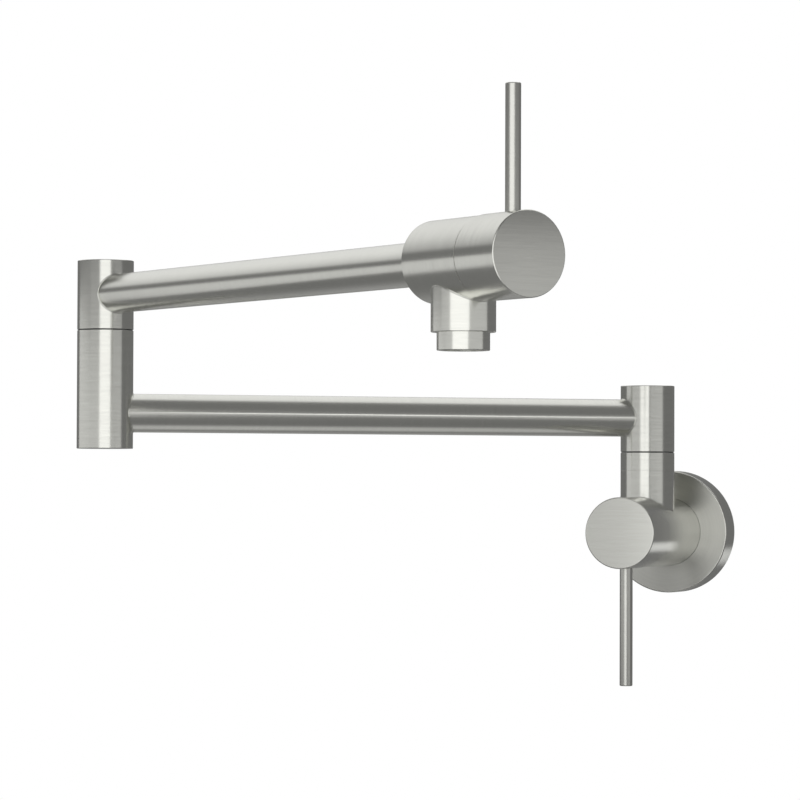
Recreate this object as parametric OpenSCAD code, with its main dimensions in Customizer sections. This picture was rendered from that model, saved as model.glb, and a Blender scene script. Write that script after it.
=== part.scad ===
/* [Wall flange] */
// Outside diameter of the flange
flange_d = 63.7; // [60:0.1:80]
// Distance from the wall to the front of the flange
flange_depth = 16.8; // [14:0.1:22]
// Thickness of the flange's front
flange_face_t = 1.8; // [1.2:0.1:2.5]
// Thickness of the flange's round side
flange_side_t = 2.2; // [1.6:0.1:3]
// Radius of the flange's front edge
flange_edge_r = 0.6; // [0.2:0.1:1]
// Thickness of the gasket on the wall
gasket_t = 1; // [0.5:0.1:2]
// Width of the gasket's ring
gasket_w = 3; // [2.5:0.1:4]
// How far the gasket stays behind the flange's edge
gasket_inset = 0.4; // [0.2:0.1:0.8]
// Diameter of the grub screw that holds the flange
flange_screw_d = 4; // [3:0.5:5]
// Distance from the wall to that grub screw
flange_screw_y = 8; // [6:0.5:9]

/* [Mounting plate] */
// Thickness of the plate on the wall
plate_t = 3; // [2:0.1:4]
// Thickness of the plate's rim
plate_rim_t = 2; // [1.5:0.1:2.5]
// Room between the plate's rim and the flange's side
plate_side_gap = 2; // [1:0.1:2.5]
// Room between the plate's rim and the flange's front
plate_head_gap = 2; // [1:0.1:3]
// Distance from the plate's edge to the wall screws
wall_screw_inset = 5.65; // [5:0.05:6]
// Diameter of each hole for a wall screw
wall_screw_d = 5; // [4:0.1:5.5]
// Number of wall screws
wall_screw_count = 3; // [2:1:4]

/* [Inlet] */
// Diameter of the inlet's half inch pipe thread at its pitch line
inlet_thread_d = 19.78; // [16:0.01:21]
// Length of the inlet's pipe thread
inlet_thread_len = 13.6; // [10:0.1:15]
// Length of the adaptor in front of its pipe thread
adaptor_nose = 8.4; // [6:0.1:10]
// Diameter of the water way through the adaptor's nose
adaptor_bore_d = 13; // [8:0.5:15]
// How far the flats of the adaptor's hexagon stand out
adaptor_hex_step = 0.5; // [0.3:0.1:1]
// Thickness of the adaptor's hexagon
adaptor_hex_t = 3; // [2:0.1:4]
// Thickness of the flat washer in front of the hexagon
inlet_washer_t = 1.5; // [1:0.1:2]

/* [Valve barrels] */
// Outside diameter of both valve barrels
barrel_d = 35.4; // [35:0.1:40]
// Wall of the wall valve's barrel round the adaptor
barrel_t = 3.7; // [3:0.1:4.5]
// Distance from the wall to the axis of the post
post_y = 54.2; // [52:0.1:70]
// Distance from the post's axis to the seam of the wall knob
post_to_seam = 20.8; // [19:0.1:22]
// Diameter of the water way behind each cartridge
feed_d = 12; // [8:0.5:12.5]
// Diameter of the water way beside each cartridge
port_d = 9; // [6:0.5:9.5]
// Web between the cartridge's seat and the upper tube's socket
spout_web = 2.1; // [1:0.1:6]

/* [Knobs and levers] */
// How far the knobs stand proud of the barrels
knob_step = 0.3; // [0:0.05:1]
// Length of each knob
knob_len = 28.3; // [26:0.1:34]
// Width of the bevel on the knob's edges
knob_bevel = 0.4; // [0.1:0.05:0.8]
// Thickness of the knob's skirt
knob_skirt_t = 2.7; // [1.5:0.1:3.2]
// Depth of the hollow inside the knob's skirt
knob_hollow = 8; // [7:0.1:9]
// Open seam between knob and barrel
knob_gap = 0.4; // [0.2:0.05:0.6]
// Diameter of both lever rods
lever_d = 6.5; // [5:0.1:7]
// Distance from the knob's face to the lever's axis
lever_inset = 11.9; // [8:0.1:12.5]
// Distance from the knob's axis to the tip of the wall lever
wall_lever_reach = 77; // [50:0.5:110]
// Distance from the knob's axis to the tip of the spout lever
spout_lever_reach = 70.6; // [50:0.1:110]
// Distance from the knob's axis to the rod's inner end
lever_root = 9; // [7:0.1:12]
// Bevel at the lever's tip
lever_bevel = 0.35; // [0.1:0.05:1]
// Diameter of the knob's grub screw
knob_screw_d = 3; // [2.5:0.5:4]
// Length of the knob's grub screw
knob_screw_len = 6; // [4:0.5:9]

/* [Cartridges] */
// Outside diameter of the cartridge's guided part
cartridge_d = 21.8; // [21:0.1:23]
// Step from the cartridge's guided part to its windowed part
cartridge_step = 0.7; // [0.3:0.1:1.2]
// Wall of the cartridge round the ceramic discs
cartridge_t = 1.8; // [1.2:0.1:2.4]
// Depth of the cartridge's seat behind the seam
cartridge_depth = 34; // [33.5:0.1:34.5]
// Thickness of each ceramic disc
disc_t = 3; // [2:0.1:3.2]
// Diameter of the ports through the ceramic discs
disc_port_d = 4.4; // [3:0.1:5]
// Thickness of the seal under the discs
seat_seal_t = 2; // [1.5:0.1:2.5]
// Wall of the seal round the water way
seat_seal_wall = 2.4; // [1:0.1:3]
// Diameter of the stem in its bearing
stem_d = 9; // [7:0.1:9.5]
// Step from the stem's bearing to its splined end
stem_step = 0.5; // [0.3:0.05:1]
// Length of the splined end inside the knob
stem_end_len = 6; // [4:0.5:8]
// Thickness of the stem's spring clip
clip_t = 1; // [0.6:0.1:1.2]
// Outside diameter of the cartridge's neck
neck_d = 15.2; // [13:0.1:15.5]
// Height of the neck in front of the seam
neck_len = 5; // [4:0.1:5.5]
// How far the nut stands out round the cartridge
nut_step = 2.1; // [1.5:0.1:3]
// Distance from the knob's seam to the front of the nut
nut_inset = 0.9; // [0.5:0.1:2]
// Height of the cartridge nut
nut_h = 9.8; // [8:0.1:10]
// Height of the window in the cartridge's side
window_h = 9.5; // [8:0.1:10]
// Width of the window in the cartridge's side
window_w = 10; // [6:0.1:12]

/* [Posts and swivels] */
// Diameter of post, sleeves and elbow column
column_d = 27.6; // [27.2:0.1:32]
// Height of the seam on the post above the wall valve's axis
collar_z = 31.7; // [30:0.1:33.5]
// Height of the wall swivel's gap above the wall valve's axis
swivel_z = 41.1; // [40:0.1:42]
// Open seam at each swivel
swivel_gap = 0.5; // [0.3:0.05:0.8]
// Height of the arm's axis above the bottom of its sleeve
sleeve_axis_h = 17.25; // [16.8:0.05:17.6]
// Bevel on the rims of the columns
column_bevel = 0.3; // [0.1:0.05:0.6]
// Diameter of the spigots
spigot_d = 16; // [15:0.1:16.4]
// Water way inside the spigots
spigot_bore_d = 9; // [7:0.1:9.4]
// Length of the spigot's thread below the swivel's gap
spigot_tail = 17.4; // [16.5:0.1:18.5]
// Depth of the water gallery round the spigot
gallery_depth = 1.4; // [0.8:0.1:1.5]
// Height of the water gallery round the spigot
gallery_h = 11; // [9.5:0.1:11.5]
// Diameter of the four ports through the spigot's wall
spigot_port_d = 5.6; // [4:0.1:6.5]
// Thickness of the o-rings on the spigots
ring_t = 1.8; // [1.2:0.1:2]
// Distance from the arm's axis to each o-ring
ring_offset = 9.3; // [8.9:0.1:9.6]
// Land on each side of an o-ring's groove
ring_land = 0.95; // [0.6:0.05:1.5]
// Height of the spigot above the middle of its upper o-ring
spigot_head = 2.5; // [2:0.05:4]
// Depth of the recess in the top of each sleeve
sleeve_recess = 4.8; // [4.6:0.1:5.2]
// Wall of the sleeve round that recess
sleeve_rim_t = 2.6; // [1.6:0.1:3.4]
// Thickness of the cap on each sleeve
cap_t = 1.6; // [1.2:0.1:1.7]
// Room round the retaining washer
keeper_room = 1.2; // [0.6:0.1:2]
// Thickness of the retaining washer
keeper_t = 1; // [0.8:0.1:1.1]
// Diameter of the retaining screw
keeper_screw_d = 5; // [4:0.5:6]
// Length of the retaining screw's thread
keeper_screw_len = 5; // [4:0.1:5.2]
// Diameter of the retaining screw's head
keeper_head_d = 9; // [8:0.1:10]
// Height of the retaining screw's head
keeper_head_h = 1.8; // [1.4:0.1:1.9]

/* [Arms] */
// Outside diameter of both arm tubes
tube_d = 19.05; // [16:0.05:19.3]
// Wall of both arm tubes
tube_t = 1.2; // [0.8:0.1:2]
// Distance from the post to the elbow
lower_len = 284.5; // [200:0.5:320]
// Angle of the lower arm out from the wall
lower_angle = 37.2; // [0:0.1:170]
// Distance from the elbow to the seam of the spout knob
upper_len = 339.5; // [330:0.5:400]
// Angle of the upper arm out from the wall
upper_angle = 37.2; // [0:0.1:75]
// Height of the elbow column
elbow_h = 58; // [57:0.1:80]
// Distance from the lower arm's axis to the elbow's foot
elbow_drop = 17.6; // [17:0.1:19]
// Diameter of the water way up the elbow
elbow_bore_d = 13; // [9:0.1:14]
// Thickness of the plug in the elbow's foot
foot_t = 2.8; // [2:0.1:3.5]
// Wall of the column round that plug
foot_rim_t = 2.8; // [2:0.1:3.5]
// Depth of the tube's socket in the spout's barrel
tube_socket = 4.5; // [3:0.1:8]
// Web between a sleeve's bore and the end of its tube
socket_web = 1.2; // [0.8:0.1:1.6]

/* [Spout outlet] */
// Distance from the spout knob's seam to the outlet's axis
outlet_back = 19.85; // [19.3:0.05:20.5]
// Diameter of the outlet's neck
outlet_d = 27.3; // [26:0.1:28]
// Distance from the upper arm's axis to the end of the neck
outlet_drop = 30.2; // [29.5:0.1:33]
// Depth of the thread inside the neck
outlet_thread_len = 9.5; // [8.5:0.1:10]
// Wall of the neck round its thread
outlet_t = 3.4; // [2.5:0.1:4]
// How far the aerator's housing stands out round the thread
aerator_step = 0.95; // [0.5:0.05:1.5]
// Height of the aerator's housing below the neck
aerator_h = 7.6; // [7.5:0.1:9]
// Depth of the spanner flats of the aerator
aerator_flat_t = 0.8; // [0.3:0.05:1.2]
// Height of the spanner flats
aerator_flat_h = 4.5; // [4:0.1:6.5]
// Direction of the spanner flats about the outlet's axis
aerator_turn = 40; // [0:1:90]
// Wall of the aerator's housing inside the neck
aerator_wall = 1.3; // [1:0.1:1.6]
// Lip that holds the aerator's insert
aerator_lip = 0.8; // [0.4:0.1:1.2]
// Height of that lip
aerator_lip_h = 1.2; // [0.8:0.1:1.6]
// Thickness of the aerator's rubber washer
aerator_washer_t = 2; // [1.5:0.1:2.2]
// Thickness of the disc that limits the flow
regulator_t = 2; // [1.5:0.1:3]
// Wall of the insert above its honeycomb
insert_wall = 1.3; // [0.8:0.1:1.6]
// Width of one cell of the honeycomb
cell_w = 2.3; // [1.8:0.1:3]
// Web between the cells of the honeycomb
cell_web = 0.5; // [0.3:0.05:0.8]
// Depth of the honeycomb
cell_h = 3; // [2:0.1:4]

/* [Clearances] */
// Gap round a piece that turns on another
running_gap = 0.08; // [0.03:0.01:0.1]
// Gap round a piece that is screwed or pushed into another
seat_gap = 0.05; // [0.03:0.01:0.08]
// Gap between an o-ring and what it lies on
ring_gap = 0.02; // [0.01:0.01:0.03]
// Gap between the flange and the barrel that passes through it
flange_gap = 0.15; // [0.1:0.05:0.3]

/* [Hidden] */
$fn = 96;

// How far every cut runs past the surface it opens
cut = 1;
// Steps round the flange's front edge
edge_steps = 6;

// Radii of the pieces that show
flange_r = flange_d / 2;
barrel_r = barrel_d / 2;
knob_r = barrel_r + knob_step;
column_r = column_d / 2;
tube_r = tube_d / 2;
lever_r = lever_d / 2;
outlet_r = outlet_d / 2;
outlet_thread_r = outlet_r - outlet_t;
aerator_r = outlet_thread_r + aerator_step;

// Flange and plate
flange_hollow_r = flange_r - flange_side_t;
gasket_r = flange_r - gasket_inset;
plate_r = flange_hollow_r - plate_side_gap;
plate_rim_h = flange_depth - flange_face_t - plate_head_gap;
adaptor_r = barrel_r - barrel_t;
plate_hole_r = adaptor_r + seat_gap;
wall_screw_r = plate_r - wall_screw_inset;
flange_screw_end = flange_r - flange_edge_r / 2;

// Adaptor and the rear of the wall valve
adaptor_len = inlet_thread_len + adaptor_nose;
hexagon_r = (adaptor_r + adaptor_hex_step) / cos(30);
washer_y = plate_t + adaptor_hex_t;
valve_back_y = washer_y + inlet_washer_t;
rear_socket_r = adaptor_r + seat_gap;
wall_seam_y = post_y + post_to_seam;

// Cartridge chamber, measured from the seam of the knob
chamber_r = cartridge_d / 2 + seat_gap;
nut_r = cartridge_d / 2 + nut_step;
nut_socket_r = nut_r + seat_gap;
nut_front = -nut_inset;
nut_back = nut_front - nut_h;
guide_back = nut_back - ring_t - 2 * ring_land;
cartridge_skirt_r = cartridge_d / 2 - cartridge_step;
disc_d = 2 * (cartridge_skirt_r - cartridge_t);
cartridge_back = -cartridge_depth + seat_seal_t / 2;
disc_back = -cartridge_depth + seat_seal_t;
disc_face = disc_back + disc_t;
seal_bore_r = disc_d / 2 - seat_seal_wall;
moving_back = disc_face + seat_gap;
moving_face = moving_back + disc_t;
disc_room_r = disc_d / 2 + running_gap;
foot_plate_h = disc_t;
foot_plate_front = moving_face + foot_plate_h;
stem_shank_d = stem_d - ring_t;
bearing_back = guide_back;
stem_bearing_r = stem_d / 2 + running_gap;
tongue_w = disc_d / 4;
tongue_len = disc_d * 3 / 4;
tongue_h = disc_t / 3;
disc_port_r = disc_d / 2 - tongue_w / 2 - disc_port_d / 2;
stem_ring_s = nut_back + nut_h / 2;
stem_ring_t = ring_t * 3 / 4;
stem_end_d = stem_d - 2 * stem_step;
stem_front = knob_gap / 2 + knob_hollow + stem_end_len;
clip_back = neck_len + seat_gap;
clip_floor_r = stem_end_d / 2 - clip_t / 2;
clip_r = stem_d / 2 + clip_t;
window_back = foot_plate_front - window_h / 3;

// Knob
knob_back = knob_gap / 2;
knob_front = knob_back + knob_len;
knob_hollow_r = knob_r - knob_skirt_t;
knob_floor = knob_back + knob_hollow;
lever_s = knob_front - lever_inset;
knob_screw_s = (knob_floor + stem_front) / 2;
stem_socket_r = stem_end_d / 2 + seat_gap;

// Swivels, measured from the middle of the gap
sleeve_back = swivel_gap / 2;
sleeve_bore_r = spigot_d / 2 + running_gap;
sleeve_axis = sleeve_back + sleeve_axis_h;
sleeve_shoulder = sleeve_axis + ring_offset + spigot_head;
sleeve_top = sleeve_shoulder + sleeve_recess;
recess_r = column_r - sleeve_rim_t;
keeper_r = recess_r - keeper_room;
foot_r = column_r - foot_rim_t;
spigot_top = sleeve_shoulder + running_gap;
gallery_r = spigot_d / 2 - gallery_depth;
groove_r = spigot_d / 2 - ring_t + ring_gap;
spigot_socket_r = spigot_d / 2 + seat_gap;
swivel_washer_r = column_r - column_bevel - running_gap;
cap_r = recess_r - seat_gap;
keeper_hole_depth = keeper_screw_len - keeper_t + seat_gap;

// Arms
lower_axis_z = swivel_z + sleeve_axis;
elbow_x = -lower_len * cos(lower_angle);
elbow_y = -post_y - lower_len * sin(lower_angle);
elbow_foot_z = lower_axis_z - elbow_drop;
elbow_gap_z = elbow_foot_z + elbow_h + swivel_gap / 2;
upper_axis_z = elbow_gap_z + sleeve_axis;
tube_seat = sleeve_bore_r + socket_web;
spout_back_s = -cartridge_depth - spout_web - tube_socket;
spout_back = upper_len + spout_back_s;
tube_inner_r = tube_r - tube_t;

// Outlet, measured up from the end of the aerator
aerator_thread_r = outlet_thread_r - seat_gap;
aerator_bore_r = aerator_thread_r - aerator_wall;
aerator_thread_h = outlet_thread_len - aerator_washer_t;
aerator_len = aerator_h + aerator_thread_h;
insert_r = aerator_bore_r - seat_gap;
insert_top = aerator_len - regulator_t;
cell_pitch = cell_w + cell_web;
cell_rings = floor((insert_r - insert_wall) / cell_pitch);

// A turned rod from the origin up, with a bevel at its bottom and top
module turned(r, h, low = 0, high = 0) {
    bottom = low > 0 ? [[r - low, 0], [r, low]] : [[r, 0]];
    top = high > 0 ? [[r, h - high], [r - high, h]] : [[r, h]];
    rotate_extrude()
        polygon(concat([[0, 0]], bottom, top, [[0, h]]));
}

// A turned rod between two heights
module rod(r, from, to, low = 0, high = 0) {
    translate([0, 0, from])
        turned(r, to - from, low, high);
}

// A plain hole between two heights
module hole(r, from, to) {
    translate([0, 0, from])
        cylinder(r = r, h = to - from);
}

// A ring between two heights
module ring(outer, inner, from, to) {
    difference() {
        rod(outer, from, to);
        hole(inner, from - cut, to + cut);
    }
}

// An o-ring that lies on a floor of the given radius
module o_ring(floor_r, thick, at) {
    translate([0, 0, at])
        rotate_extrude()
            translate([floor_r + ring_gap + thick / 2, 0])
                circle(d = thick, $fn = 48);
}

// Frame of the wall valve: z runs out from the wall, y runs up
module on_wall() {
    rotate([90, 0, 0])
        children();
}

// Frame of the wall valve's knob: z starts at the knob's seam
module at_wall_seam() {
    on_wall()
        translate([0, 0, wall_seam_y])
            children();
}

// Frame of the wall swivel: z starts at its gap
module at_wall_swivel() {
    translate([0, -post_y, swivel_z])
        children();
}

// Frame of the lower arm: x runs along the tube from the post
module on_lower_arm() {
    translate([0, -post_y, lower_axis_z])
        rotate([0, 0, 180 + lower_angle])
            children();
}

// Frame of the elbow: z starts at the height given
module at_elbow(z) {
    translate([elbow_x, elbow_y, z])
        children();
}

// Frame of the upper arm: x runs along the tube from the elbow
module on_upper_arm() {
    at_elbow(upper_axis_z)
        rotate([0, 0, -upper_angle])
            children();
}

// Frame of the spout valve: z runs along the arm from the knob's seam, y runs up
module at_spout_seam() {
    on_upper_arm()
        translate([upper_len, 0, 0])
            rotate([90, 0, 90])
                children();
}

// Frame of the outlet: z runs up from the end of the aerator
module at_outlet() {
    on_upper_arm()
        translate([upper_len - outlet_back, 0, -outlet_drop - aerator_h])
            children();
}

// Mounting plate with a rim and its holes for wall screws
module mounting_plate() {
    color("lightsteelblue")
    on_wall()
        difference() {
            rod(plate_r, 0, plate_rim_h);
            hole(plate_r - plate_rim_t, plate_t, plate_rim_h + cut);
            hole(plate_hole_r, -cut, plate_t + cut);
            for (i = [0 : wall_screw_count - 1])
                rotate([0, 0, 90 + i * 360 / wall_screw_count])
                    translate([wall_screw_r, 0, 0])
                        hole(wall_screw_d / 2, -cut, plate_t + cut);
        }
}

// Gasket between flange and wall
module flange_gasket() {
    color("dimgray")
    on_wall()
        ring(gasket_r, gasket_r - gasket_w, 0, gasket_t);
}

// Hollow flange with a rounded front edge
module wall_flange() {
    edge = [for (i = [0 : edge_steps])
        let (a = 90 * i / edge_steps)
        [flange_r - flange_edge_r * (1 - cos(a)), flange_depth - flange_edge_r * (1 - sin(a))]];
    color("silver")
    on_wall()
        difference() {
            rotate_extrude()
                polygon(concat([[0, gasket_t], [flange_r, gasket_t]], edge, [[0, flange_depth]]));
            hole(flange_hollow_r, gasket_t - cut, flange_depth - flange_face_t);
            hole(barrel_r + flange_gap, 0, flange_depth + cut);
            translate([0, 0, flange_screw_y])
                rotate([90, 0, 0])
                    hole(flange_screw_d / 2 + seat_gap, plate_r, flange_r + cut);
        }
}

// Grub screw that presses on the plate's rim from below
module flange_screw() {
    color("gray")
    on_wall()
        translate([0, 0, flange_screw_y])
            rotate([90, 0, 0])
                difference() {
                    rod(flange_screw_d / 2, plate_r + seat_gap, flange_screw_end);
                    translate([0, 0, flange_screw_end - flange_screw_d / 2])
                        cylinder(d = flange_screw_d / 2, h = flange_screw_d, $fn = 6);
                }
}

// Brass adaptor with the pipe thread that faces the wall
module inlet_adaptor() {
    color("darkgoldenrod")
    on_wall()
        difference() {
            union() {
                rod(adaptor_r, 0, adaptor_len, 0, flange_edge_r);
                translate([0, 0, plate_t])
                    cylinder(r = hexagon_r, h = adaptor_hex_t, $fn = 6);
            }
            hole(inlet_thread_d / 2, -cut, inlet_thread_len);
            hole(adaptor_bore_d / 2, 0, adaptor_len + cut);
        }
}

// Flat washer between adaptor and valve body
module inlet_washer() {
    color("firebrick")
    on_wall()
        ring(barrel_r - flange_edge_r, rear_socket_r, washer_y, valve_back_y);
}

// Chamber for a cartridge, with the socket for its nut, cut from a barrel
module cartridge_chamber() {
    hole(feed_d / 2, -cartridge_depth - cut, -cartridge_depth + cut);
    hole(chamber_r, -cartridge_depth, 0);
    hole(nut_socket_r, nut_back, cut);
}

// Wall valve: the barrel and the post on it
module valve_body() {
    post_s = post_y - wall_seam_y;
    color("silver")
    difference() {
        union() {
            at_wall_seam()
                rod(barrel_r, valve_back_y - wall_seam_y, -knob_gap / 2);
            translate([0, -post_y, 0])
                rod(column_r, 0, collar_z, 0, column_bevel / 2);
        }
        at_wall_seam() {
            cartridge_chamber();
            hole(rear_socket_r, valve_back_y - wall_seam_y - cut, adaptor_len - wall_seam_y);
            hole(feed_d / 2, adaptor_len - wall_seam_y - cut, -cartridge_depth);
        }
        translate([0, -post_y, 0]) {
            hole(port_d / 2, 0, collar_z + cut);
            hole(spigot_socket_r, swivel_z - spigot_tail, collar_z + cut);
        }
    }
}

// Rubber seal under the ceramic discs
module seat_seal() {
    color("black")
        ring(disc_d / 2, seal_bore_r, -cartridge_depth, disc_back);
}

// Two ports side by side through a ceramic disc
module disc_ports(from, to) {
    for (side = [-1, 1])
        translate([side * disc_port_r, 0, 0])
            hole(disc_port_d / 2, from, to);
}

// Ceramic disc that stands still
module fixed_disc() {
    color("white")
        difference() {
            rod(disc_d / 2, disc_back, disc_face);
            disc_ports(disc_back - cut, disc_face + cut);
        }
}

// Ceramic disc that turns, with a slot for the stem's tongue
module moving_disc() {
    color("ivory")
        difference() {
            rod(disc_d / 2, moving_back, moving_face);
            rotate([0, 0, 90])
                disc_ports(moving_back - cut, moving_face + cut);
            tongue(seat_gap);
        }
}

// Tongue that drives the turning disc, or the slot it fits
module tongue(gap) {
    width = tongue_w + 2 * gap;
    length = tongue_len + 2 * gap;
    translate([-length / 2, -width / 2, moving_face - tongue_h - gap])
        cube([length, width, tongue_h + gap + (gap > 0 ? cut : 0)]);
}

// Cartridge shell with side windows and the neck that guides the stem
module cartridge() {
    color("goldenrod")
        difference() {
            union() {
                rod(cartridge_skirt_r, cartridge_back, guide_back + seat_gap);
                rod(cartridge_d / 2, guide_back, nut_back);
                rod(neck_d / 2, nut_back - seat_gap, neck_len);
            }
            hole(disc_room_r, cartridge_back - cut, bearing_back);
            hole(stem_bearing_r, bearing_back - cut, neck_len + cut);
            translate([-cartridge_d / 2 - cut, -window_w / 2, window_back])
                cube([cartridge_d + 2 * cut, window_w, window_h]);
            translate([-window_w / 2, -cartridge_d / 2 - cut, window_back])
                cube([window_w, cartridge_d + 2 * cut, window_h]);
            cartridge_groove();
        }
}

// Groove for the o-ring round the cartridge
module cartridge_groove() {
    middle = (guide_back + nut_back) / 2;
    ring(cartridge_d / 2 + cut, cartridge_d / 2 - ring_t, middle - ring_t / 2 - ring_gap,
        middle + ring_t / 2 + ring_gap);
}

// O-ring round the cartridge
module cartridge_ring() {
    color("black")
        o_ring(cartridge_d / 2 - ring_t, ring_t, (guide_back + nut_back) / 2);
}

// Ring nut over the cartridge, with two spanner slots
module cartridge_nut() {
    slot_w = nut_h / 4;
    color("peru")
        difference() {
            ring(nut_r, neck_d / 2 + seat_gap, nut_back, nut_front);
            translate([-nut_r - cut, -slot_w / 2, nut_front - slot_w])
                cube([2 * (nut_r + cut), slot_w, slot_w + cut]);
        }
}

// Stem that turns the ceramic disc
module stem() {
    shank_front = bearing_back + ring_t;
    color("gold")
        difference() {
            union() {
                tongue(0);
                rod(disc_d / 2, moving_face, foot_plate_front);
                rod(stem_shank_d / 2, foot_plate_front - seat_gap, shank_front);
                rod(stem_d / 2, shank_front - seat_gap, neck_len - ring_gap);
                rod(stem_end_d / 2, neck_len - cut, stem_front, 0, clip_t / 4);
            }
            ring(stem_d, stem_d / 2 - stem_ring_t, stem_ring_s - stem_ring_t / 2 - ring_gap,
                stem_ring_s + stem_ring_t / 2 + ring_gap);
            ring(stem_d, clip_floor_r, clip_back - ring_gap, clip_back + clip_t + ring_gap);
        }
}

// O-ring of the stem
module stem_ring() {
    color("black")
        o_ring(stem_d / 2 - stem_ring_t, stem_ring_t, stem_ring_s);
}

// Open spring clip in front of the cartridge's neck
module stem_clip() {
    color("slategray")
        difference() {
            ring(clip_r, clip_floor_r + ring_gap, clip_back, clip_back + clip_t);
            translate([0, -stem_end_d / 3, clip_back - cut])
                cube([clip_r + cut, stem_end_d * 2 / 3, clip_t + 2 * cut]);
        }
}

// Round knob with a hollow skirt, the stem's socket and the lever's hole
module knob() {
    color("gainsboro")
        difference() {
            rod(knob_r, knob_back, knob_front, knob_bevel / 2, knob_bevel);
            hole(knob_hollow_r, knob_back - cut, knob_floor);
            hole(stem_socket_r, knob_floor - cut, stem_front + seat_gap);
            translate([0, 0, lever_s])
                rotate([-90, 0, 0])
                    hole(lever_r + seat_gap, lever_root, knob_r + cut);
            translate([0, 0, knob_screw_s])
                rotate([0, 90, 0])
                    hole(knob_screw_d / 2 + seat_gap, 0, knob_r + cut);
        }
}

// Thin lever rod, straight up from the knob's axis
module lever(reach) {
    color("whitesmoke")
        translate([0, 0, lever_s])
            rotate([-90, 0, 0])
                rod(lever_r, lever_root, reach, 0, lever_bevel);
}

// Grub screw between knob and stem
module knob_screw() {
    start = stem_end_d / 2 + ring_gap;
    color("gray")
        translate([0, 0, knob_screw_s])
            rotate([0, 90, 0])
                difference() {
                    rod(knob_screw_d / 2, start, start + knob_screw_len);
                    translate([0, 0, start + knob_screw_len - knob_screw_d / 2])
                        cylinder(d = knob_screw_d / 2, h = knob_screw_d, $fn = 6);
                }
}

// Collar on top of the post
module post_collar() {
    color("gainsboro")
    translate([0, -post_y, 0])
        difference() {
            rod(column_r, collar_z, swivel_z - swivel_gap / 2, column_bevel / 2, column_bevel);
            hole(spigot_socket_r, collar_z - cut, swivel_z);
        }
}

// Groove for one o-ring on a spigot
module spigot_groove(at) {
    ring(spigot_d, groove_r, at - ring_t / 2 - ring_gap, at + ring_t / 2 + ring_gap);
}

// Hollow spigot with a gallery, four ports and two grooves
module spigot() {
    gallery_top = sleeve_axis + gallery_h / 2;
    color("goldenrod")
        difference() {
            rod(spigot_d / 2, -spigot_tail, spigot_top);
            hole(spigot_bore_d / 2, -spigot_tail - cut, sleeve_axis + spigot_port_d / 2);
            ring(spigot_d, gallery_r, sleeve_axis - gallery_h / 2, gallery_top);
            for (a = [0 : 90 : 270])
                translate([0, 0, sleeve_axis])
                    rotate([90, 0, a])
                        hole(spigot_port_d / 2, 0, spigot_d);
            spigot_groove(sleeve_axis - ring_offset);
            spigot_groove(sleeve_axis + ring_offset);
            hole(keeper_screw_d / 2 + seat_gap, spigot_top - keeper_hole_depth, spigot_top + cut);
        }
}

// The two o-rings of a spigot
module spigot_rings() {
    color("black") {
        o_ring(groove_r, ring_t, sleeve_axis - ring_offset);
        o_ring(groove_r, ring_t, sleeve_axis + ring_offset);
    }
}

// Thin bearing washer in the gap of a swivel
module swivel_washer() {
    color("darkslategray")
        ring(swivel_washer_r, spigot_socket_r, -swivel_gap / 2, swivel_gap / 2 - 2 * ring_gap);
}

// Retaining washer on top of a spigot
module retaining_washer() {
    color("lightgray")
        ring(keeper_r, keeper_screw_d / 2 + seat_gap, spigot_top, spigot_top + keeper_t);
}

// Retaining screw with a low head and a hexagonal socket
module retaining_screw() {
    head = spigot_top + keeper_t;
    color("gray")
        difference() {
            union() {
                rod(keeper_screw_d / 2, head - keeper_screw_len, head + keeper_head_h / 2);
                rod(keeper_head_d / 2, head, head + keeper_head_h, 0, keeper_head_h / 6);
            }
            translate([0, 0, head + keeper_head_h / 3])
                cylinder(d = keeper_head_d / 2, h = keeper_head_h, $fn = 6);
        }
}

// Flush cap in the top of a sleeve
module sleeve_cap() {
    color("silver")
        rod(cap_r, sleeve_top - cap_t, sleeve_top, 0, column_bevel / 2);
}

// Turning sleeve with its bore, top recess and the tube's socket along x
module sleeve() {
    color("gainsboro")
        difference() {
            rod(column_r, sleeve_back, sleeve_top, column_bevel, column_bevel);
            hole(sleeve_bore_r, 0, sleeve_top);
            hole(recess_r, sleeve_shoulder, sleeve_top + cut);
            tube_way(sleeve_axis);
        }
}

// Socket for an arm tube along x, with the water way behind it
module tube_way(at) {
    translate([0, 0, at])
        rotate([0, 90, 0]) {
            hole(tube_r + seat_gap, tube_seat, column_d);
            hole(port_d / 2, 0, column_d);
        }
}

// Straight tube along x
module arm_tube(from, to) {
    color("silver")
    rotate([0, 90, 0])
        ring(tube_r, tube_inner_r, from, to);
}

// Elbow column under the elbow's swivel
module elbow_column() {
    top = elbow_gap_z - swivel_gap / 2;
    color("silver")
    at_elbow(0)
        difference() {
            rod(column_r, elbow_foot_z, top, column_bevel, column_bevel);
            hole(elbow_bore_d / 2, elbow_foot_z, top);
            hole(foot_r + seat_gap, elbow_foot_z - cut, elbow_foot_z + foot_t);
            hole(spigot_socket_r, elbow_gap_z - spigot_tail, top + cut);
            rotate([0, 0, lower_angle])
                tube_way(lower_axis_z);
        }
}

// Plug in the foot of the elbow column
module elbow_foot() {
    color("gainsboro")
    at_elbow(0)
        rod(foot_r, elbow_foot_z, elbow_foot_z + foot_t, column_bevel / 2, 0);
}

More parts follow.
